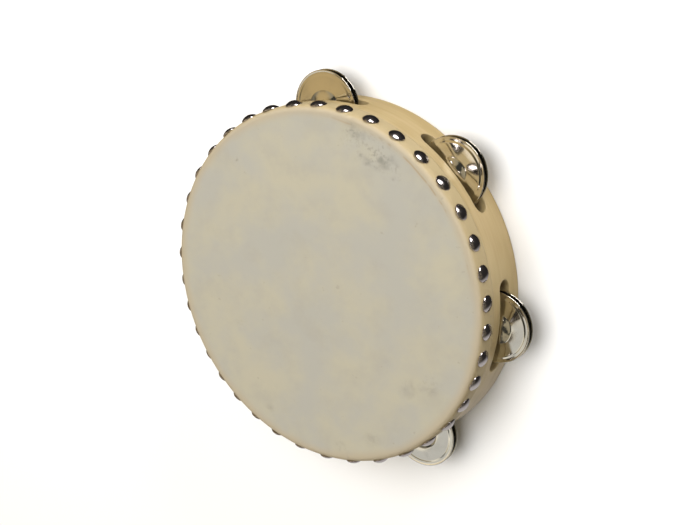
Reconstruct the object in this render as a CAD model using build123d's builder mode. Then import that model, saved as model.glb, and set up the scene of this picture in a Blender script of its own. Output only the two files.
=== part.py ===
from build123d import *
from math import cos, pi, radians, sin
import os

# Frame drum with jingles, lying on its rear rim: the origin is the hoop's axis on the
# rear rim plane, +Z runs up to the drum head, and all sizes are in millimetres.

# Hoop: one bent wooden ring
hoop_outer_radius = 101.6
hoop_wall = 7.6
hoop_depth = 40.7
head_edge_rounding = 2.6
inner_edge_rounding = 1.0
rear_edge_rounding = 1.2

# Head: a skin stretched over the front of the hoop and folded down its outside
skin_thickness = 0.4
collar_depth = 12.3

# Jingle slots: six of seven even places round the hoop, the seventh left plain for the hand
place_count = 7
pair_count = 6
first_pair_angle = 91.8
slot_length = 52.8
slot_height = 10.2
slot_middle_below_head = 25.75

# Jingles: thin pressed plates with a flat rim, a shallow cone and a domed middle
jingle_radius = 20.0
jingle_sheet = 0.55
flange_inner_radius = 17.7
dome_radius = 9.2
dome_foot_height = 0.75
dome_shoulder_radius = 5.8
dome_shoulder_height = 2.2
dome_top_height = 2.75
jingle_hole_radius = 1.7
rim_gap = 2.8

# Pins: plain nails driven in from the rear rim, one through each pair
pin_radius = 1.0
pin_head_radius = 1.6
pin_head_height = 0.8
pin_head_recess = 0.5
pin_bite_above_slot = 8.0

# Tacks: round-headed nails that hold the skin's collar on the hoop
tack_count = 38
first_tack_angle = 162.1
tack_drift = 1.2
tack_drift_waves = 2
tack_drift_start = 54.1
tack_wobble = 1.33
tack_wobble_waves = 3
tack_wobble_start = 170.6
tack_below_head = 5.4
tack_head_radius = 4.75
tack_head_height = 2.4
tack_sheet = 0.7
tack_seat = 0.3
tack_shank_radius = 0.85
tack_shank_tip = 95.4
tack_point_length = 1.4

# Worked-out places
hoop_inner_radius = hoop_outer_radius - hoop_wall
wall_middle_radius = hoop_outer_radius - hoop_wall / 2
head_plane = hoop_depth + skin_thickness
skin_radius = hoop_outer_radius + skin_thickness
slot_middle = head_plane - slot_middle_below_head
slot_top = slot_middle + slot_height / 2
pin_top = slot_top + pin_bite_above_slot
pin_shank_start = pin_head_recess + pin_head_height
tack_ring_height = head_plane - tack_below_head
pair_angles = [first_pair_angle - 360 * i / place_count for i in range(pair_count)]


def tack_angle(number):
    """Direction of one tack, in degrees: an even round that drifts a little, as hand spacing does."""
    turn = 2 * pi * number / tack_count
    drift = tack_drift * sin(tack_drift_waves * turn + radians(tack_drift_start))
    wobble = tack_wobble * sin(tack_wobble_waves * turn + radians(tack_wobble_start))
    return first_tack_angle - 360 * number / tack_count + drift + wobble


def radial_plane(angle, height, distance):
    """A plane facing straight out of the hoop, its x direction along the hoop and its y direction up."""
    out_x = cos(radians(angle))
    out_y = sin(radians(angle))
    origin = (out_x * distance, out_y * distance, height)
    return Plane(origin=origin, x_dir=(-out_y, out_x, 0), z_dir=(out_x, out_y, 0))


def pin_place(angle):
    """The foot of a pair's pin, in the middle of the hoop's wall."""
    out_x = cos(radians(angle))
    out_y = sin(radians(angle))
    return Location((out_x * wall_middle_radius, out_y * wall_middle_radius, 0))


def tack_places():
    """Every tack's place on the ring, turned to face out of the hoop."""
    return [Location((0, 0, tack_ring_height), (0, 0, tack_angle(i))) for i in range(tack_count)]


# One jingle, its rim plane at z = 0 and its dome upwards
with BuildPart() as jingle:
    with BuildSketch(Plane.XZ):
        with BuildLine():
            under = Polyline(
                (jingle_radius, 0),
                (flange_inner_radius, 0),
                (dome_radius, dome_foot_height),
            )
            dome_under = ThreePointArc(
                under @ 1,
                (dome_shoulder_radius, dome_shoulder_height),
                (jingle_hole_radius, dome_top_height),
            )
            hole_edge = Line(dome_under @ 1, dome_under @ 1 + Vector(0, jingle_sheet))
            dome_over = ThreePointArc(
                hole_edge @ 1,
                (dome_shoulder_radius, dome_shoulder_height + jingle_sheet),
                (dome_radius, dome_foot_height + jingle_sheet),
            )
            Polyline(
                dome_over @ 1,
                (flange_inner_radius, jingle_sheet),
                (jingle_radius, jingle_sheet),
                (jingle_radius, 0),
            )
        make_face()
    revolve(axis=Axis.Z)
    rim_edges = jingle.edges().filter_by(GeomType.CIRCLE).sort_by(SortBy.LENGTH)[-2:]
    fillet(rim_edges, radius=jingle_sheet * 0.4)

# One pin with its head in the rear rim, standing at the origin
with BuildPart() as pin:
    with Locations((0, 0, pin_shank_start)):
        Cylinder(pin_radius, pin_top - pin_shank_start, align=(Align.CENTER, Align.CENTER, Align.MIN))
    with Locations((0, 0, pin_head_recess)):
        Cylinder(pin_head_radius, pin_head_height, align=(Align.CENTER, Align.CENTER, Align.MIN))

# The hole that a pin fills, open to the rear rim above its head
with BuildPart() as pin_seat:
    Cylinder(pin_radius, pin_top, align=(Align.CENTER, Align.CENTER, Align.MIN))
    Cylinder(pin_head_radius, pin_shank_start, align=(Align.CENTER, Align.CENTER, Align.MIN))

# The shank of one tack, along +X
with BuildPart() as tack_shank:
    with BuildSketch(Plane.XY):
        with BuildLine():
            Polyline(
                (tack_shank_tip, 0),
                (tack_shank_tip + tack_point_length, tack_shank_radius),
                (skin_radius, tack_shank_radius),
                (skin_radius, 0),
                close=True,
            )
        make_face()
    revolve(axis=Axis.X)

# One tack along +X: a hollow dome whose rim beds on the skin, over its shank
with BuildPart() as tack:
    with BuildSketch(Plane.XY):
        with BuildLine():
            rim_start = skin_radius - tack_seat
            apex = skin_radius + tack_head_height
            inner_apex = apex - tack_sheet
            outer_dome = RadiusArc(
                (rim_start, tack_head_radius),
                (apex, 0),
                (tack_head_radius**2 + (apex - rim_start) ** 2) / (2 * (apex - rim_start)),
            )
            inner_rim = (rim_start, tack_head_radius - tack_sheet)
            Line(outer_dome @ 1, (inner_apex, 0))
            RadiusArc(
                (inner_apex, 0),
                inner_rim,
                -((tack_head_radius - tack_sheet) ** 2 + (inner_apex - rim_start) ** 2)
                / (2 * (inner_apex - rim_start)),
            )
            Line(inner_rim, outer_dome @ 0)
        make_face()
    revolve(axis=Axis.X)
    Cylinder(skin_radius, 4 * tack_head_radius, mode=Mode.SUBTRACT)
    with BuildSketch(Plane.YZ.offset(skin_radius)):
        Circle(tack_shank_radius)
    extrude(amount=tack_head_height - tack_sheet / 2)
    add(tack_shank.part)

with BuildPart() as hoop:
    with BuildSketch():
        Circle(hoop_outer_radius)
        Circle(hoop_inner_radius, mode=Mode.SUBTRACT)
    extrude(amount=hoop_depth)
    front_edges = hoop.edges().group_by(Axis.Z)[-1].sort_by(SortBy.LENGTH)
    fillet(front_edges[-1], radius=head_edge_rounding)
    fillet(front_edges[0], radius=inner_edge_rounding)
    fillet(hoop.edges().group_by(Axis.Z)[0], radius=rear_edge_rounding)
    for pair_angle in pair_angles:
        with BuildSketch(radial_plane(pair_angle, slot_middle, hoop_inner_radius - hoop_wall)):
            SlotOverall(slot_length, slot_height)
        extrude(amount=3 * hoop_wall, mode=Mode.SUBTRACT)
    with Locations(*[pin_place(angle) for angle in pair_angles]):
        add(pin_seat.part, mode=Mode.SUBTRACT)
    with Locations(*tack_places()):
        add(tack_shank.part, mode=Mode.SUBTRACT)
hoop.part.label = "hoop"

with BuildPart() as head_skin:
    with BuildSketch(Plane.XZ):
        with BuildLine():
            fold_start = (hoop_outer_radius - head_edge_rounding, head_plane)
            fold_end = (skin_radius, hoop_depth - head_edge_rounding)
            wood_fold_start = (hoop_outer_radius - head_edge_rounding, hoop_depth)
            wood_fold_end = (hoop_outer_radius, hoop_depth - head_edge_rounding)
            Line((0, head_plane), fold_start)
            RadiusArc(fold_start, fold_end, head_edge_rounding + skin_thickness)
            Polyline(
                fold_end,
                (skin_radius, head_plane - collar_depth),
                (hoop_outer_radius, head_plane - collar_depth),
                wood_fold_end,
            )
            RadiusArc(wood_fold_end, wood_fold_start, -head_edge_rounding)
            Polyline(wood_fold_start, (0, hoop_depth), (0, head_plane))
        make_face()
    revolve(axis=Axis.Z)
    with Locations(*tack_places()):
        add(tack_shank.part, mode=Mode.SUBTRACT)
head_skin.part.label = "head_skin"

with BuildPart() as tacks:
    with Locations(*tack_places()):
        add(tack.part)
tacks.part.label = "tacks"

os.makedirs("parts", exist_ok=True)
export_step(hoop.part, "parts/hoop.step")
export_step(head_skin.part, "parts/head_skin.step")
export_step(tacks.part, "parts/tacks.step")

# Each pair: its pin, the front jingle with its dome to the head, and the rear jingle turned over
for number, pair_angle in enumerate(pair_angles, start=1):
    foot = pin_place(pair_angle).position

    with BuildPart() as jingle_pin:
        with Locations(foot):
            add(pin.part)
    jingle_pin.part.label = f"jingle_pin_{number}"
    export_step(jingle_pin.part, f"parts/jingle_pin_{number}.step")

    with BuildPart() as front_jingle:
        with Locations(foot + Vector(0, 0, slot_middle + rim_gap / 2)):
            add(jingle.part)
    front_jingle.part.label = f"jingle_{number}_front"
    export_step(front_jingle.part, f"parts/jingle_{number}_front.step")

    with BuildPart() as rear_jingle:
        with Locations(Location(foot + Vector(0, 0, slot_middle - rim_gap / 2), (180, 0, 0))):
            add(jingle.part)
    rear_jingle.part.label = f"jingle_{number}_rear"
    export_step(rear_jingle.part, f"parts/jingle_{number}_rear.step")
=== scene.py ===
"""A wooden frame drum: skin head held by tacks, and six pairs of nickel jingles in slots.

Metres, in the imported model's frame: the origin is the hoop's axis on its rear rim, +Z runs
up to the head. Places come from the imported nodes, and other sizes are the values below.
"""

import math
import random

import bmesh
import bpy
from mathutils import Matrix, Vector, noise


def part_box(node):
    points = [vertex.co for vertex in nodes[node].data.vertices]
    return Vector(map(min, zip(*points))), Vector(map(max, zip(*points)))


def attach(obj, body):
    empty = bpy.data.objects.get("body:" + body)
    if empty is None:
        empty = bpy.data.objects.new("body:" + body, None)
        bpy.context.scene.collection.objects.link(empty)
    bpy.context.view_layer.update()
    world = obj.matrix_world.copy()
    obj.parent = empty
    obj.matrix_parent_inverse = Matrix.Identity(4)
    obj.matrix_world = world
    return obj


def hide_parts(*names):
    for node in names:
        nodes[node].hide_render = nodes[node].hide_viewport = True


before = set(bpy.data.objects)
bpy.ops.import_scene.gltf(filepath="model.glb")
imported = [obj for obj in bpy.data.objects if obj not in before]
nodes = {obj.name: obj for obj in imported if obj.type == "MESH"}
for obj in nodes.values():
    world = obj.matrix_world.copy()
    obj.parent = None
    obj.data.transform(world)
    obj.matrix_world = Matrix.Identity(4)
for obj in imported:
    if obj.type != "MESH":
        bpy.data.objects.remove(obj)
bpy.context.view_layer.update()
mm = 0.001

# ---------------------------------------------------------------- sizes from the frame
hoop_low, hoop_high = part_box("hoop")
skin_low, skin_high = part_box("head_skin")
hoop_radius = (hoop_high.x - hoop_low.x) / 2
wood_top = hoop_high.z
head_plane = skin_high.z
skin_radius = (skin_high.x - skin_low.x) / 2
collar_low = skin_low.z
pair_count = len([name for name in nodes if name.endswith("_front")])

# Hoop
hoop_wall = 7.6 * mm
inner_radius = hoop_radius - hoop_wall
head_edge_round = 2.6 * mm
inner_edge_round = 1.0 * mm
rear_edge_round = 1.2 * mm
slot_length = 52.8 * mm
slot_height = 10.2 * mm
slot_edge_round = 0.6 * mm
cell_margin = 3.2 * mm
pin_seat_radius = 1.6 * mm
pin_seat_depth = 0.5 * mm

# Skin
skin_sheet = 0.4 * mm
skin_points_per_tack = 12
cut_wave_height = 0.35 * mm
cut_ripple_height = 0.12 * mm
collar_bulge = 0.28 * mm
bulge_top = 5 * mm
bulge_fade = 3 * mm
tack_grip = 6.0 * mm
grip_fall = 2.2
bearing_dip = 0.05 * mm
bearing_inset = 3.6 * mm
bearing_reach = 1.0 * mm
slack_height = 0.10 * mm
slack_fade = 20 * mm
# Radius of the fold ridge, which is drawn only as a painted shade line in the skin's colour
crease_radius = 97.4 * mm

# Grey hair roots left in the skin: direction in degrees, distance from the middle, size, strength
hair_marks = [
    (59.0, 90 * mm, 11 * mm, 0.60),
    (64.0, 88 * mm, 13 * mm, 0.40),
    (71.0, 92 * mm, 10 * mm, 0.45),
    (51.5, 87 * mm, 9 * mm, 0.35),
    (125.5, 87 * mm, 2.2 * mm, 0.8),
    (-35.0, 82 * mm, 10 * mm, 0.22),
    (-43.5, 75 * mm, 9 * mm, 0.20),
    (-72.5, 89 * mm, 7 * mm, 0.22),
    (-87.0, 94 * mm, 6 * mm, 0.22),
    (-119.5, 90 * mm, 6 * mm, 0.18),
    (-156.0, 65 * mm, 6 * mm, 0.15),
]

# Tacks
tack_head_radius = 4.75 * mm
tack_head_height = 2.4 * mm
tack_rim_height = 0.35 * mm
tack_foot_depth = 0.25 * mm
tack_lift = 0.02 * mm
tack_lean = math.radians(4)
tack_size_spread = 0.015

# Jingles
flange_inner = 17.7 * mm
dome_foot_radius = 9.2 * mm
dome_foot_height = 0.75 * mm
dome_height = 2.0 * mm
jingle_hole = 1.7 * mm
jingle_sheet = 0.55 * mm
flange_bead = 0.12 * mm
bead_start = 1.1 * mm
bead_full = 0.45 * mm
flange_step = 0.28 * mm
flange_step_width = 0.7 * mm
rim_round = 0.25 * mm
plate_warp = 0.06 * mm
plate_dent = 0.035 * mm
dent_fade = 3 * mm


def polar(radius, angle, height):
    return Vector((radius * math.cos(angle), radius * math.sin(angle), height))


def smooth_step(value, low, high):
    t = min(1.0, max(0.0, (value - low) / (high - low)))
    return t * t * (3 - 2 * t)


# ---------------------------------------------------------------- mesh helpers
class Shape:
    """Points and faces gathered grid by grid, then joined into one mesh."""

    def __init__(self):
        self.points = []
        self.faces = []

    def grid(self, rows, closed=False):
        """Quads between rows of the same length; closed joins each row's end to its start."""
        start = len(self.points)
        width = len(rows[0])
        for row in rows:
            self.points.extend(row)
        for i in range(len(rows) - 1):
            for j in range(width if closed else width - 1):
                k = (j + 1) % width
                a = start + i * width
                b = a + width
                self.faces.append((a + j, a + k, b + k, b + j))

    def cap(self, row, centre):
        """A fan of triangles from a closed row to one point."""
        start = len(self.points)
        self.points.extend(row)
        self.points.append(centre)
        last = start + len(row)
        for j in range(len(row)):
            self.faces.append((start + j, start + (j + 1) % len(row), last))

    def piece(self, name, material):
        """The shape as a smooth object with its doubled points joined and its faces turned outwards."""
        mesh = bpy.data.meshes.new(name)
        mesh.from_pydata([tuple(p) for p in self.points], [], self.faces)
        work = bmesh.new()
        work.from_mesh(mesh)
        bmesh.ops.remove_doubles(work, verts=work.verts, dist=0.002 * mm)
        bmesh.ops.recalc_face_normals(work, faces=work.faces)
        for face in work.faces:
            face.smooth = True
        work.to_mesh(mesh)
        work.free()
        mesh.materials.append(material)
        made = bpy.data.objects.new(name, mesh)
        bpy.context.scene.collection.objects.link(made)
        return made


def quarter_round(centre_r, centre_z, radius, from_angle, steps):
    """Points of a quarter circle in the (radius, height) half plane, turning left from from_angle."""
    turn = [math.radians(from_angle + 90 * i / steps) for i in range(steps + 1)]
    return [(centre_r + radius * math.cos(a), centre_z + radius * math.sin(a)) for a in turn]


# ---------------------------------------------------------------- node helpers
class Wiring:
    """The nodes of a material or a world, and short ways to add to them."""

    def __init__(self, owner):
        owner.use_nodes = True
        self.tree = owner.node_tree
        self.tree.nodes.clear()

    def add(self, kind):
        return self.tree.nodes.new(kind)

    def join(self, source, target):
        self.tree.links.new(source, target)

    def value(self, socket, given):
        """Sets a socket from a number, a colour or another node's output."""
        if hasattr(given, "is_output"):
            self.join(given, socket)
        else:
            socket.default_value = given

    def place(self, kind="Object"):
        return self.add("ShaderNodeTexCoord").outputs[kind]

    def maths(self, operation, first, second=0.0, third=0.0):
        node = self.add("ShaderNodeMath")
        node.operation = operation
        for socket, given in zip(node.inputs, (first, second, third)):
            self.value(socket, given)
        return node.outputs[0]

    def vector(self, operation, first, second=(0, 0, 0), result="Vector"):
        node = self.add("ShaderNodeVectorMath")
        node.operation = operation
        self.value(node.inputs[0], first)
        self.value(node.inputs[1], second)
        return node.outputs[result]

    def from_axis(self, place):
        """A place's distance from the local Z axis."""
        return self.vector("LENGTH", self.vector("MULTIPLY", place, (1, 1, 0)), result="Value")

    def split(self, vector):
        node = self.add("ShaderNodeSeparateXYZ")
        self.join(vector, node.inputs[0])
        return node.outputs

    def combine(self, x, y, z):
        node = self.add("ShaderNodeCombineXYZ")
        for socket, given in zip(node.inputs, (x, y, z)):
            self.value(socket, given)
        return node.outputs[0]

    def noise(self, place, scale, detail=3.0, roughness=0.5, distortion=0.0):
        node = self.add("ShaderNodeTexNoise")
        self.join(place, node.inputs["Vector"])
        node.inputs["Scale"].default_value = scale
        node.inputs["Detail"].default_value = detail
        node.inputs["Roughness"].default_value = roughness
        node.inputs["Distortion"].default_value = distortion
        return node.outputs["Fac"]

    def ramp(self, factor, low, high, start=0.0, end=1.0):
        """A smooth change from start to end as factor goes from low to high."""
        node = self.add("ShaderNodeMapRange")
        node.interpolation_type = "SMOOTHSTEP"
        self.join(factor, node.inputs["Value"])
        node.inputs["From Min"].default_value = low
        node.inputs["From Max"].default_value = high
        node.inputs["To Min"].default_value = start
        node.inputs["To Max"].default_value = end
        return node.outputs["Result"]

    def mix(self, factor, first, second):
        node = self.add("ShaderNodeMix")
        node.data_type = "RGBA"
        self.value(node.inputs["Factor"], factor)
        self.value(node.inputs["A"], first)
        self.value(node.inputs["B"], second)
        return node.outputs["Result"]

    def bump(self, height, strength, distance, under=None):
        node = self.add("ShaderNodeBump")
        node.inputs["Strength"].default_value = strength
        node.inputs["Distance"].default_value = distance
        self.join(height, node.inputs["Height"])
        if under is not None:
            self.join(under, node.inputs["Normal"])
        return node.outputs["Normal"]


class Paint(Wiring):
    """One procedural material, with its shader joined to its output."""

    def __init__(self, name):
        self.material = bpy.data.materials.new(name)
        super().__init__(self.material)
        self.shader = self.add("ShaderNodeBsdfPrincipled")
        self.join(self.shader.outputs["BSDF"], self.add("ShaderNodeOutputMaterial").inputs["Surface"])

    def feed(self, name, source):
        """Joins another node's output to one of the shader's inputs."""
        self.join(source, self.shader.inputs[name])


def rgb(red, green, blue):
    """A colour given in display values from 0 to 255, as the shader's linear colour."""
    parts = [c / 255 for c in (red, green, blue)]
    return tuple(c / 12.92 if c <= 0.04045 else ((c + 0.055) / 1.055) ** 2.4 for c in parts) + (1.0,)


# ---------------------------------------------------------------- materials
def wood_paint():
    """Pale bent wood under thin varnish: fine streaks run round the hoop, with slow blotches."""
    straw = rgb(174, 153, 112)
    honey = rgb(165, 144, 100)
    streak_brown = rgb(150, 125, 80)
    pale_blotch = rgb(188, 171, 132)
    along_scale = 16.0
    streak_scale = 620.0
    band_scale = 130.0

    paint = Paint("pale_bent_wood")
    place = paint.place()
    x, y, z = paint.split(place)
    across = paint.maths("ADD", paint.from_axis(place), z)
    along_x = paint.maths("MULTIPLY", x, along_scale)
    along_y = paint.maths("MULTIPLY", y, along_scale)

    def drawn_out(scale):
        """Places drawn out round the hoop, so that a noise is much finer across the grain."""
        fine = paint.combine(0.0, 0.0, paint.maths("MULTIPLY", across, scale))
        return paint.vector("ADD", paint.combine(along_x, along_y, 0.0), fine)

    streaks = paint.noise(drawn_out(streak_scale), 1.0, detail=5.0, roughness=0.62, distortion=0.35)
    bands = paint.noise(drawn_out(band_scale), 1.0, detail=2.0, roughness=0.5, distortion=0.6)
    blotches = paint.noise(place, 19.0, detail=3.0)
    colour = paint.mix(paint.ramp(bands, 0.35, 0.68), straw, honey)
    colour = paint.mix(paint.ramp(streaks, 0.46, 0.74, 0.0, 0.28), colour, streak_brown)
    colour = paint.mix(paint.ramp(blotches, 0.42, 0.72, 0.0, 0.35), colour, pale_blotch)
    paint.feed("Base Color", colour)
    paint.feed("Roughness", paint.ramp(streaks, 0.3, 0.8, 0.40, 0.52))
    paint.shader.inputs["Coat Weight"].default_value = 0.18
    paint.shader.inputs["Coat Roughness"].default_value = 0.28
    paint.feed("Normal", paint.bump(streaks, 0.14, 0.10 * mm))
    return paint.material


def skin_paint():
    """Natural drum skin: cloudy grey beige, wood coloured where it lies on the hoop, with hair roots and a
    painted shade line along the fold ridge.
    """
    cool_grey = rgb(161, 158, 148)
    warm_grey = rgb(169, 163, 144)
    mottle_grey = rgb(156, 152, 141)
    rim_beige = rgb(168, 153, 126)
    rim_cream = rgb(166, 153, 129)
    collar_tan = rgb(162, 145, 109)
    # painted shade: the brown of the fold ridge's shadow line
    ridge_shade_brown = rgb(146, 122, 84)
    hair_grey = rgb(108, 108, 100)
    fleck_grey = rgb(132, 129, 118)

    paint = Paint("natural_drum_skin")
    place = paint.place()
    x, y, z = paint.split(place)
    wander = paint.maths("MULTIPLY", paint.maths("SUBTRACT", paint.noise(place, 26.0), 0.5), 5 * mm)
    edge = paint.maths("ADD", paint.from_axis(place), wander)
    clouds = paint.noise(place, 26.0, detail=5.0, roughness=0.6)
    mottle = paint.noise(place, 48.0, detail=4.0, roughness=0.6)
    fibres = paint.noise(place, 900.0, detail=3.0, roughness=0.65)

    colour = paint.mix(paint.ramp(clouds, 0.36, 0.66), cool_grey, warm_grey)
    colour = paint.mix(paint.ramp(mottle, 0.44, 0.74, 0.0, 0.5), colour, mottle_grey)
    rim = paint.mix(paint.ramp(clouds, 0.35, 0.65), rim_beige, rim_cream)
    colour = paint.mix(paint.ramp(edge, 94 * mm, 101 * mm, 0.0, 0.85), colour, rim)
    colour = paint.mix(paint.ramp(z, 39.2 * mm, 41.05 * mm, 1.0, 0.0), colour, collar_tan)

    # Painted shade: a thin brown line along the fold ridge, broken up and kept to the side towards +X and
    # +Y, stands in for the ridge's shade
    off_crease = paint.maths("ABSOLUTE", paint.maths("SUBTRACT", edge, crease_radius))
    ridge_shade_side = paint.ramp(paint.maths("ADD", x, y), 105 * mm, 130 * mm)
    broken = paint.maths("MULTIPLY", ridge_shade_side, paint.ramp(mottle, 0.47, 0.58))
    painted_ridge_shade = paint.maths("MULTIPLY", paint.ramp(off_crease, 0.1 * mm, 0.8 * mm, 0.5, 0.0), broken)
    colour = paint.mix(painted_ridge_shade, colour, ridge_shade_brown)

    specks = paint.ramp(paint.noise(place, 420.0, detail=4.0, roughness=0.7), 0.5, 0.68)
    haze = paint.ramp(paint.noise(place, 110.0, detail=3.0), 0.45, 0.7)
    hairs = paint.maths("MULTIPLY_ADD", specks, 0.75, haze)
    for angle, distance, size, strength in hair_marks:
        centre = polar(distance, math.radians(angle), head_plane)
        away = paint.vector("DISTANCE", place, tuple(centre), result="Value")
        amount = paint.maths("MULTIPLY", paint.ramp(away, 0.25 * size, size, 1.0, 0.0), hairs)
        colour = paint.mix(paint.maths("MULTIPLY", amount, strength), colour, hair_grey)
    flecks = paint.ramp(paint.noise(place, 210.0, detail=2.0), 0.72, 0.79, 0.0, 0.35)
    paint.feed("Base Color", paint.mix(flecks, colour, fleck_grey))
    paint.feed("Roughness", paint.ramp(mottle, 0.3, 0.75, 0.50, 0.66))
    paint.shader.inputs["Specular IOR Level"].default_value = 0.35
    grain = paint.bump(fibres, 0.16, 0.06 * mm)
    paint.feed("Normal", paint.bump(mottle, 0.25, 0.25 * mm, under=grain))
    return paint.material


def nickel_paint(name, colour, low_rough, high_rough, ring_count=0.0):
    """Bright nickel plate: faint scuffs in the shine and, on turned pieces, rings about local Z."""
    stain_shade = 0.82
    paint = Paint(name)
    place = paint.place()
    scuffs = paint.noise(place, 260.0, detail=4.0, roughness=0.65)
    stains = paint.ramp(paint.noise(place, 70.0, detail=3.0), 0.5, 0.75, 0.0, 0.35)
    stained = rgb(*[part * stain_shade for part in colour])
    paint.feed("Base Color", paint.mix(stains, rgb(*colour), stained))
    paint.shader.inputs["Metallic"].default_value = 1.0
    paint.feed("Roughness", paint.ramp(scuffs, 0.35, 0.75, low_rough, high_rough))
    normal = paint.bump(scuffs, 0.05, 0.05 * mm)
    if ring_count:
        outwards = paint.maths("MULTIPLY", paint.from_axis(place), ring_count)
        rings = paint.noise(paint.combine(outwards, 0.0, 0.0), 1.0, detail=2.0)
        normal = paint.bump(rings, 0.06, 0.05 * mm, under=normal)
    paint.feed("Normal", normal)
    return paint.material


def wire_paint():
    """Drawn steel wire, with faint lines along it."""
    bright_steel = rgb(176, 174, 170)
    dull_steel = rgb(150, 148, 143)
    line_scale = 3000.0
    paint = Paint("drawn_steel")
    x, y, z = paint.split(paint.place())
    fine_x = paint.maths("MULTIPLY", x, line_scale)
    fine_y = paint.maths("MULTIPLY", y, line_scale)
    lines = paint.noise(paint.combine(fine_x, fine_y, z), 1.0)
    paint.feed("Base Color", paint.mix(lines, bright_steel, dull_steel))
    paint.shader.inputs["Metallic"].default_value = 1.0
    paint.feed("Roughness", paint.ramp(lines, 0.3, 0.7, 0.24, 0.38))
    paint.feed("Normal", paint.bump(lines, 0.1, 0.04 * mm))
    return paint.material


def floor_paint():
    """A plain white floor with a very faint tone in it, which glows far off, as a lit sweep does."""
    light_tone = (0.91, 0.91, 0.91, 1)
    dark_tone = (0.89, 0.89, 0.89, 1)
    glow_start = 0.45
    glow_full = 2.0
    paint = Paint("white_floor")
    place = paint.place()
    paint.shader.inputs["Emission Color"].default_value = (1, 1, 1, 1)
    paint.feed("Emission Strength", paint.ramp(paint.from_axis(place), glow_start, glow_full))
    paint.feed("Base Color", paint.mix(paint.noise(place, 2.0), light_tone, dark_tone))
    paint.shader.inputs["Roughness"].default_value = 0.9
    return paint.material


wood = wood_paint()
skin = skin_paint()
jingle_nickel = nickel_paint("jingle_nickel_plate", (222, 218, 206), 0.07, 0.15, ring_count=900.0)
tack_nickel = nickel_paint("tack_nickel_plate", (206, 198, 198), 0.14, 0.24)
steel_wire = wire_paint()


# ---------------------------------------------------------------- where the tacks and pairs are
def tack_angles():
    """The direction of each tack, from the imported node: a gap in its points' directions parts two."""
    gap = math.radians(1.5)
    around = sorted(math.atan2(v.co.y, v.co.x) for v in nodes["tacks"].data.vertices)
    groups = [[around[0]]]
    for angle in around[1:]:
        if angle - groups[-1][-1] > gap:
            groups.append([])
        groups[-1].append(angle)
    if around[0] + 2 * math.pi - around[-1] < gap:
        groups[0] += [angle - 2 * math.pi for angle in groups.pop()]
    return [(min(group) + max(group)) / 2 for group in groups]


tack_directions = tack_angles()
tack_low, tack_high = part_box("tacks")
tack_height = (tack_low.z + tack_high.z) / 2


def pair_direction(number):
    """The direction of a pair from the hoop's axis, from its packed front jingle."""
    low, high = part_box(f"jingle_{number}_front")
    middle = (low + high) / 2
    return math.atan2(middle.y, middle.x)


pair_directions = [pair_direction(number) for number in range(1, pair_count + 1)]
place_pitch = (pair_directions[0] - pair_directions[1]) % (2 * math.pi)
place_count = round(2 * math.pi / place_pitch)
plain_directions = [pair_directions[0] - place_pitch * i for i in range(pair_count, place_count)]
slot_middle = (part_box("jingle_1_front")[0].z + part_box("jingle_1_rear")[1].z) / 2


# ---------------------------------------------------------------- hoop
def slot_outline(travel):
    """A point of the slot's edge and the way out of the slot there, at a distance along the edge.

    It starts at the left end of the lower side and runs to the right. Places are from the slot's middle."""
    end_radius = slot_height / 2
    half = slot_length / 2 - end_radius
    turn = math.pi * end_radius
    travel = travel % (4 * half + 2 * turn)
    if travel < 2 * half:
        return (-half + travel, -end_radius), (0.0, -1.0)
    if travel < 2 * half + turn:
        a = -math.pi / 2 + (travel - 2 * half) / end_radius
        return (half + end_radius * math.cos(a), end_radius * math.sin(a)), (math.cos(a), math.sin(a))
    if travel < 4 * half + turn:
        return (half - (travel - 2 * half - turn), end_radius), (0.0, 1.0)
    a = math.pi / 2 + (travel - 4 * half - turn) / end_radius
    return (-half + end_radius * math.cos(a), end_radius * math.sin(a)), (math.cos(a), math.sin(a))


def even_steps(start, end, count):
    """That many values from start towards end, with the end itself left out."""
    return [start + (end - start) * i / count for i in range(count)]


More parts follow.
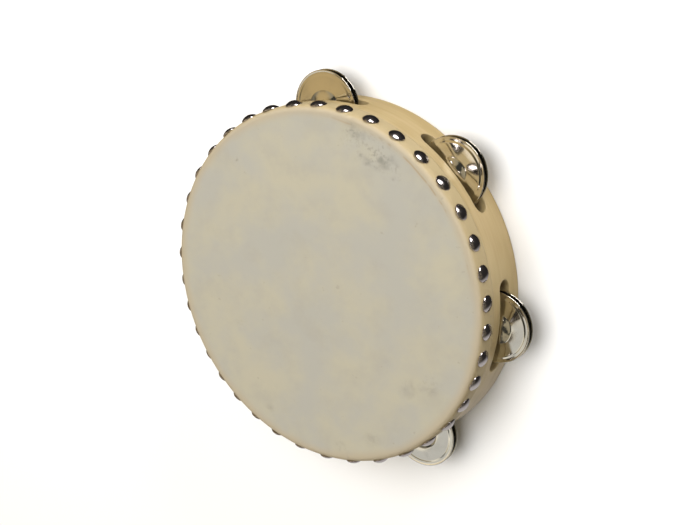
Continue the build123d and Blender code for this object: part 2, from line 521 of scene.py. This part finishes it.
def build_hoop():
    """The bent ring: a cell round each slot, a plain cell for the hand, and bands with rounded edges."""
    shape = Shape()
    long_steps, short_steps, round_steps = 64, 12, 4
    half_cell = math.pi / place_count
    cell_low = slot_middle - slot_height / 2 - cell_margin
    cell_high = slot_middle + slot_height / 2 + cell_margin
    end_radius = slot_height / 2
    half = slot_length / 2 - end_radius
    turn = math.pi * end_radius

    travels = even_steps(-turn / 4, 2 * half + turn / 4, long_steps)
    travels += even_steps(2 * half + turn / 4, 2 * half + 3 * turn / 4, short_steps)
    travels += even_steps(2 * half + 3 * turn / 4, 4 * half + 5 * turn / 4, long_steps)
    travels += even_steps(4 * half + 5 * turn / 4, 4 * half + 7 * turn / 4, short_steps)
    frame_points = [(a, cell_low) for a in even_steps(-half_cell, half_cell, long_steps)]
    frame_points += [(half_cell, z) for z in even_steps(cell_low, cell_high, short_steps)]
    frame_points += [(a, cell_high) for a in even_steps(half_cell, -half_cell, long_steps)]
    frame_points += [(-half_cell, z) for z in even_steps(cell_high, cell_low, short_steps)]

    def on_face(radius, side, direction, reach, depth):
        """The slot's edge line moved out by reach and into the wall by depth; side is +1 inwards."""
        row = []
        for travel in travels:
            (px, pz), (nx, nz) = slot_outline(travel)
            across = px + nx * reach
            out = math.sqrt(radius**2 - across**2) - side * depth
            tangent = Vector((-math.sin(direction), math.cos(direction), 0))
            row.append(polar(out, direction, slot_middle + pz + nz * reach) + tangent * across)
        return row

    def face_rows(radius, side, direction):
        """Rows on one face of the wall from the cell's frame in to the slot's rounded edge."""
        rows = []
        for share in (1.0, 0.62, 0.34, 0.14):
            row = []
            for travel, (frame_angle, frame_z) in zip(travels, frame_points):
                (px, pz), (nx, nz) = slot_outline(travel)
                edge_angle = math.asin((px + nx * slot_edge_round) / radius)
                edge_z = slot_middle + pz + nz * slot_edge_round
                angle = edge_angle + (frame_angle - edge_angle) * share
                row.append(polar(radius, direction + angle, edge_z + (frame_z - edge_z) * share))
            rows.append(row)
        for i in range(round_steps + 1):
            a = math.pi / 2 * i / round_steps
            reach = slot_edge_round * (1 - math.sin(a))
            rows.append(on_face(radius, side, direction, reach, slot_edge_round * (1 - math.cos(a))))
        return rows

    for direction in pair_directions:
        outer = face_rows(hoop_radius, 1, direction)
        inner = face_rows(inner_radius, -1, direction)
        shape.grid(outer + inner[::-1], closed=True)

    for direction in plain_directions:
        angles = even_steps(direction - half_cell, direction + half_cell, long_steps)
        angles.append(direction + half_cell)
        heights = even_steps(cell_low, cell_high, short_steps) + [cell_high]
        for radius in (hoop_radius, inner_radius):
            shape.grid([[polar(radius, a, z) for a in angles] for z in heights])

    start = pair_directions[0] - half_cell
    around = even_steps(start, start + 2 * math.pi, long_steps * place_count)

    def band(profile):
        shape.grid([[polar(radius, a, z) for a in around] for radius, z in profile], closed=True)

    head_edge_foot = wood_top - head_edge_round
    inner_edge_foot = wood_top - inner_edge_round
    above = [(hoop_radius, z) for z in even_steps(cell_high, head_edge_foot, 4)]
    above += quarter_round(hoop_radius - head_edge_round, head_edge_foot, head_edge_round, 0, 8)
    above += quarter_round(inner_radius + inner_edge_round, inner_edge_foot, inner_edge_round, 90, 5)
    above += [(inner_radius, z) for z in even_steps(inner_edge_foot, cell_high, 4)[1:]]
    above.append((inner_radius, cell_high))
    band(above)
    below = [(inner_radius, z) for z in even_steps(cell_low, rear_edge_round, 3)]
    below += quarter_round(inner_radius + rear_edge_round, rear_edge_round, rear_edge_round, 180, 5)
    below += quarter_round(hoop_radius - rear_edge_round, rear_edge_round, rear_edge_round, 270, 5)
    below += [(hoop_radius, z) for z in even_steps(rear_edge_round, cell_low, 3)[1:]]
    below.append((hoop_radius, cell_low))
    band(below)
    hoop = shape.piece("hoop_wood", wood)
    cut_pin_seats(hoop)
    return hoop


def cut_pin_seats(hoop):
    """Shallow round seats in the rear rim, over the heads of the pins."""
    cutter = Shape()
    turns = even_steps(0.0, 2 * math.pi, 40)
    heights = (-1.0 * mm, pin_seat_depth + 0.02 * mm)
    for direction in pair_directions:
        centre = polar((hoop_radius + inner_radius) / 2, direction, 0)
        rings = [[centre + polar(pin_seat_radius, a, height) for a in turns] for height in heights]
        cutter.grid(rings, closed=True)
        for ring, height in zip(rings, heights):
            cutter.cap(ring, centre + Vector((0, 0, height)))
    tool = cutter.piece("seat_cutter", wood)
    cut = hoop.modifiers.new("seats", "BOOLEAN")
    cut.operation = "DIFFERENCE"
    cut.solver = "EXACT"
    cut.object = tool
    bpy.context.view_layer.update()
    ready = bpy.data.meshes.new_from_object(hoop.evaluated_get(bpy.context.evaluated_depsgraph_get()))
    hoop.modifiers.clear()
    hoop.data = ready
    bpy.data.objects.remove(tool)


# ---------------------------------------------------------------- skin
def build_skin():
    """The stretched head: a flat middle, a fold over the rim, and a collar that lifts between its tacks."""
    shape = Shape()
    around = even_steps(0.0, 2 * math.pi, skin_points_per_tack * len(tack_directions))
    fold = head_edge_round + skin_sheet
    fold_centre = hoop_radius - head_edge_round
    bearing_start = hoop_radius - bearing_inset
    bearing_end = inner_radius - bearing_reach

    def to_tack(angle):
        """How far round the collar the nearest tack is."""
        gaps = [abs((angle - t + math.pi) % (2 * math.pi) - math.pi) for t in tack_directions]
        return min(gaps) * skin_radius

    tack_gap = [to_tack(angle) for angle in around]

    def cut_wave_at(angle):
        """How far the hand-cut lower edge strays up or down."""
        wave = cut_wave_height * noise.noise(polar(3.5, angle, 5.0))
        return wave + cut_ripple_height * noise.noise(polar(14.0, angle, 2.0))

    cut_wave = [cut_wave_at(angle) for angle in around]

    def lift(j, height):
        """How far the collar stands off the wood at one direction and height."""
        along = tack_gap[j]
        away = math.hypot(along, height - tack_height)
        free = 1 - math.exp(-((away / tack_grip) ** 2) * grip_fall)
        return collar_bulge * free * smooth_step(tack_height + bulge_top - height, 0.0, bulge_fade)

    def row(radius, height, out, up, share, side):
        """One ring of the sheet; out and up point away from it, share is its way down the collar."""
        points = []
        for j, angle in enumerate(around):
            r, z = radius, height
            if share > 0:
                z += cut_wave[j] * share
                r += lift(j, z)
            if r < bearing_start:
                z -= bearing_dip * (1 - smooth_step(r, bearing_end, bearing_start))
                slack = slack_height * noise.noise(polar(r * 30, angle, 1.0))
                z += slack * smooth_step(bearing_start - r, 0, slack_fade)
            thick = skin_sheet * side
            points.append(polar(r - out * thick, angle, z - up * thick))
        return points

    profile = [(r, head_plane, 0.0, 1.0, 0.0) for r in even_steps(4 * mm, bearing_end, 20)]
    profile += [(r, head_plane, 0.0, 1.0, 0.0) for r in even_steps(bearing_end, fold_centre, 8)]
    for r, z in reversed(quarter_round(fold_centre, wood_top - head_edge_round, fold, 0, 8)):
        out = (r - fold_centre) / fold
        up = (z - wood_top + head_edge_round) / fold
        profile.append((r, z, out, up, 0.0))
    collar_top = wood_top - head_edge_round
    for i in range(1, 15):
        share = i / 14
        profile.append((skin_radius, collar_top + (collar_low - collar_top) * share, 1.0, 0.0, share))
    outside = [row(*line, side=0) for line in profile]
    inside = [row(*line, side=1) for line in profile]
    shape.grid(outside + inside[::-1], closed=True)
    middle_height = outside[0][0].z
    shape.cap(outside[0], Vector((0, 0, middle_height)))
    shape.cap(inside[0], Vector((0, 0, middle_height - skin_sheet)))
    return shape.piece("stretched_skin", skin)


# ---------------------------------------------------------------- tacks
def build_tacks():
    """Hollow domed heads, each leaning a little its own way, bedded on the skin."""
    shape = Shape()
    chance = random.Random(7)
    rise = tack_head_height - tack_rim_height
    sphere = (tack_head_radius**2 + rise**2) / (2 * rise)
    top_angle = math.asin(tack_head_radius / sphere)
    foot = [(0.86, -tack_foot_depth), (0.955, -0.8 * tack_foot_depth), (0.99, 0.0)]
    foot.append((1.0, tack_rim_height / 2))
    profile = [(tack_head_radius * share, height) for share, height in foot]
    for i in range(1, 13):
        a = top_angle * (1 - i / 12.5)
        profile.append((sphere * math.sin(a), tack_head_height - sphere * (1 - math.cos(a))))
    for direction in tack_directions:
        lean = Matrix.Rotation(chance.uniform(-tack_lean, tack_lean), 3, "X")
        lean = Matrix.Rotation(chance.uniform(-tack_lean, tack_lean), 3, "Y") @ lean
        size = chance.uniform(1 - tack_size_spread, 1 + tack_size_spread)
        stand = Matrix.Rotation(direction, 3, "Z") @ Matrix.Rotation(math.pi / 2, 3, "Y")
        seat = polar(skin_radius + tack_lift, direction, tack_height)
        rings = []
        for radius, height in profile:
            ring = [polar(radius * size, 2 * math.pi * i / 48, height) for i in range(48)]
            rings.append([seat + stand @ (lean @ p) for p in ring])
        shape.grid(rings, closed=True)
        shape.cap(rings[-1], seat + stand @ (lean @ Vector((0, 0, tack_head_height))))
        shape.cap(rings[0], seat + stand @ (lean @ Vector((0, 0, -tack_foot_depth))))
    return shape.piece("tack_heads", tack_nickel)


# ---------------------------------------------------------------- jingles
def jingle_top(radius, rim):
    """How far the plate is pressed up at a radius: bead, flat flange, step, dish, then dome."""
    if radius > flange_inner:
        return flange_bead * smooth_step(radius, rim - bead_start, rim - bead_full)
    if radius > dome_foot_radius:
        share = (flange_inner - radius) / (flange_inner - dome_foot_radius)
        step = flange_step * smooth_step(flange_inner - radius, 0.0, flange_step_width)
        return step + (dome_foot_height - flange_step) * share**2
    sphere = (dome_foot_radius**2 + dome_height**2) / (2 * dome_height)
    rise = math.sqrt(sphere**2 - radius**2) - math.sqrt(sphere**2 - dome_foot_radius**2)
    return dome_foot_height + rise


def build_jingle(number, side, chance):
    """One pressed plate about its own middle, then set in place; a rear one is turned over."""
    low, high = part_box(f"jingle_{number}_{side}")
    rim = (high.x - low.x) / 2
    shape = Shape()
    radii = even_steps(jingle_hole, dome_foot_radius, 16)
    radii += even_steps(dome_foot_radius, flange_inner, 14)
    radii += even_steps(flange_inner, rim - rim_round, 9)
    warp = chance.uniform(0, math.pi)
    seed = chance.uniform(0, 50)
    segments = 112

    def ring(radius, height):
        points = []
        for i in range(segments):
            a = 2 * math.pi * i / segments
            wave = plate_warp * (radius / rim) ** 2 * math.cos(2 * a + warp)
            dent = plate_dent * noise.noise(polar(radius * 180, a, seed))
            dent *= smooth_step(rim - radius, 0, dent_fade)
            points.append(polar(radius, a, height + wave + dent))
        return points

    over = [ring(r, jingle_sheet + jingle_top(r, rim)) for r in radii]
    edge_height = jingle_sheet / 2
    edge = []
    for i in range(1, 8):
        a = math.pi / 2 - math.pi * i / 8
        bead = flange_bead * (1 + math.sin(a)) / 2
        radius = rim - rim_round + rim_round * math.cos(a)
        edge.append(ring(radius, edge_height + edge_height * math.sin(a) + bead))
    under = [ring(r, jingle_top(r, rim) if r < flange_inner else 0.0) for r in reversed(radii)]
    shape.grid(over + edge + under + over[:1], closed=True)
    made = shape.piece(f"jingle_plate_{number}_{side}", jingle_nickel)
    middle = (low + high) / 2
    if side == "front":
        made.matrix_world = Matrix.Translation((middle.x, middle.y, low.z))
    else:
        flip = Matrix.Rotation(math.pi, 4, "X")
        made.matrix_world = Matrix.Translation((middle.x, middle.y, high.z)) @ flip
    return made


# ---------------------------------------------------------------- the object
hoop = build_hoop()
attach(hoop, "drum")
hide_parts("hoop")

head = build_skin()
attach(head, "drum")
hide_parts("head_skin")

tacks = build_tacks()
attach(tacks, "drum")
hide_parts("tacks")

jingle_chance = random.Random(21)
for number in range(1, pair_count + 1):
    for side in ("front", "rear"):
        plate = build_jingle(number, side, jingle_chance)
        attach(plate, f"jingle_{number}_{side}")
        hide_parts(f"jingle_{number}_{side}")
    pin = nodes[f"jingle_pin_{number}"]
    pin.data.materials.clear()
    pin.data.materials.append(steel_wire)


# ---------------------------------------------------------------- studio
def flat_stage(name, size, material, place):
    """A square stage piece facing up."""
    shape = Shape()
    half = size / 2
    shape.grid([[Vector((x, y, 0)) for x in (-half, half)] for y in (-half, half)])
    made = shape.piece(name, material)
    made.location = place
    return made


def backdrop_dome(radius):
    """A pale dome seen only by the camera, so that low views end in a plain studio too."""
    material = bpy.data.materials.new("pale_backdrop")
    wiring = Wiring(material)
    glow = wiring.add("ShaderNodeEmission")
    glow.inputs["Color"].default_value = (1, 1, 1, 1)
    glow.inputs["Strength"].default_value = 1.0
    wiring.join(glow.outputs[0], wiring.add("ShaderNodeOutputMaterial").inputs["Surface"])
    shape = Shape()
    turns = even_steps(0.0, 2 * math.pi, 64)
    rows = []
    for i in range(25):
        a = math.radians(-10 + 95 * i / 24)
        rows.append([polar(radius * math.cos(a), turn, radius * math.sin(a)) for turn in turns])
    shape.grid(rows, closed=True)
    shape.cap(rows[-1], Vector((0, 0, radius)))
    made = shape.piece("backdrop_dome", material)
    made.visible_diffuse = False
    made.visible_glossy = False
    made.visible_transmission = False
    made.visible_volume_scatter = False
    made.visible_shadow = False


def soft_light(name, direction, elevation, distance, width, height, power):
    """A softbox aimed at the drum: direction and elevation in degrees, power in watts."""
    data = bpy.data.lights.new(name, "AREA")
    data.shape = "RECTANGLE"
    data.size = width
    data.size_y = height
    data.energy = power
    made = bpy.data.objects.new(name, data)
    flat = distance * math.cos(math.radians(elevation))
    made.location = polar(flat, math.radians(direction), distance * math.sin(math.radians(elevation)))
    made.rotation_mode = "QUATERNION"
    made.rotation_quaternion = made.location.to_track_quat("Z", "Y")
    bpy.context.scene.collection.objects.link(made)
    return made


def studio_world():
    """A dim room for the metal to mirror: dark low down, patches higher, a golden and a pale side."""
    dark_below = (0.03, 0.028, 0.026, 1)
    dark_patch = (0.04, 0.04, 0.035, 1)
    tan_patch = (0.40, 0.35, 0.25, 1)
    golden = (0.62, 0.46, 0.23, 1)
    pale = (0.6, 0.59, 0.57, 1)
    golden_side = polar(1.0, math.radians(165), 1.35)
    pale_side = Vector((0.0, -0.9, -0.43))

    world = bpy.data.worlds.new("studio")
    room = Wiring(world)
    around = room.place("Generated")

    def lit_side(under, side, start, full, colour):
        """Lays a colour over what is under it, round one side of the room."""
        toward = room.vector("DOT_PRODUCT", around, side.normalized(), result="Value")
        return room.mix(room.ramp(toward, start, full), under, colour)

    patches = room.ramp(room.noise(around, 2.6, detail=1.0), 0.46, 0.54)
    height = room.ramp(room.split(around)["Z"], -0.25, 0.85)
    walls = room.mix(height, dark_below, room.mix(patches, dark_patch, tan_patch))
    walls = lit_side(walls, golden_side, 0.86, 0.99, golden)
    walls = lit_side(walls, pale_side, 0.5, 0.95, pale)
    glow = room.add("ShaderNodeBackground")
    room.join(walls, glow.inputs["Color"])
    room.join(glow.outputs[0], room.add("ShaderNodeOutputWorld").inputs["Surface"])
    bpy.context.scene.world = world


floor_size = 14.0
backdrop_radius = 6.5
floor_drop = 0.1 * mm
floor = flat_stage("studio_floor", floor_size, floor_paint(), Vector((0, 0, -floor_drop)))
floor.visible_glossy = False
backdrop_dome(backdrop_radius)
studio_world()
soft_light("key", direction=58, elevation=12, distance=0.8, width=0.5, height=0.26, power=5.0)
overhead = soft_light(
    "overhead", direction=105, elevation=72, distance=1.4, width=1.5, height=1.5, power=27.0
)
overhead.visible_glossy = False
soft_light("window", direction=226, elevation=54, distance=1.5, width=0.95, height=0.95, power=1.7)
soft_light("small_window", direction=40, elevation=66, distance=1.4, width=0.13, height=0.13, power=0.22)

# ---------------------------------------------------------------- camera
view_tilt = math.radians(38.29)
view_side = math.radians(24.54)
lens = 72.0
film_width = 36.0
head_in_view = Vector((-16.5 * mm, -14.6 * mm, -773.2 * mm))
tilt_axis = Vector((-math.sin(view_side), math.cos(view_side), 0))
camera_turn = Matrix.Rotation(view_tilt, 4, tilt_axis)
camera_data = bpy.data.cameras.new("camera")
camera_data.lens = lens
camera_data.sensor_width = film_width
camera = bpy.data.objects.new("camera", camera_data)
bpy.context.scene.collection.objects.link(camera)
camera_place = Vector((0, 0, head_plane)) - camera_turn.to_3x3() @ head_in_view
camera.matrix_world = Matrix.Translation(camera_place) @ camera_turn
bpy.context.scene.camera = camera
bpy.context.scene.view_settings.view_transform = "Standard"
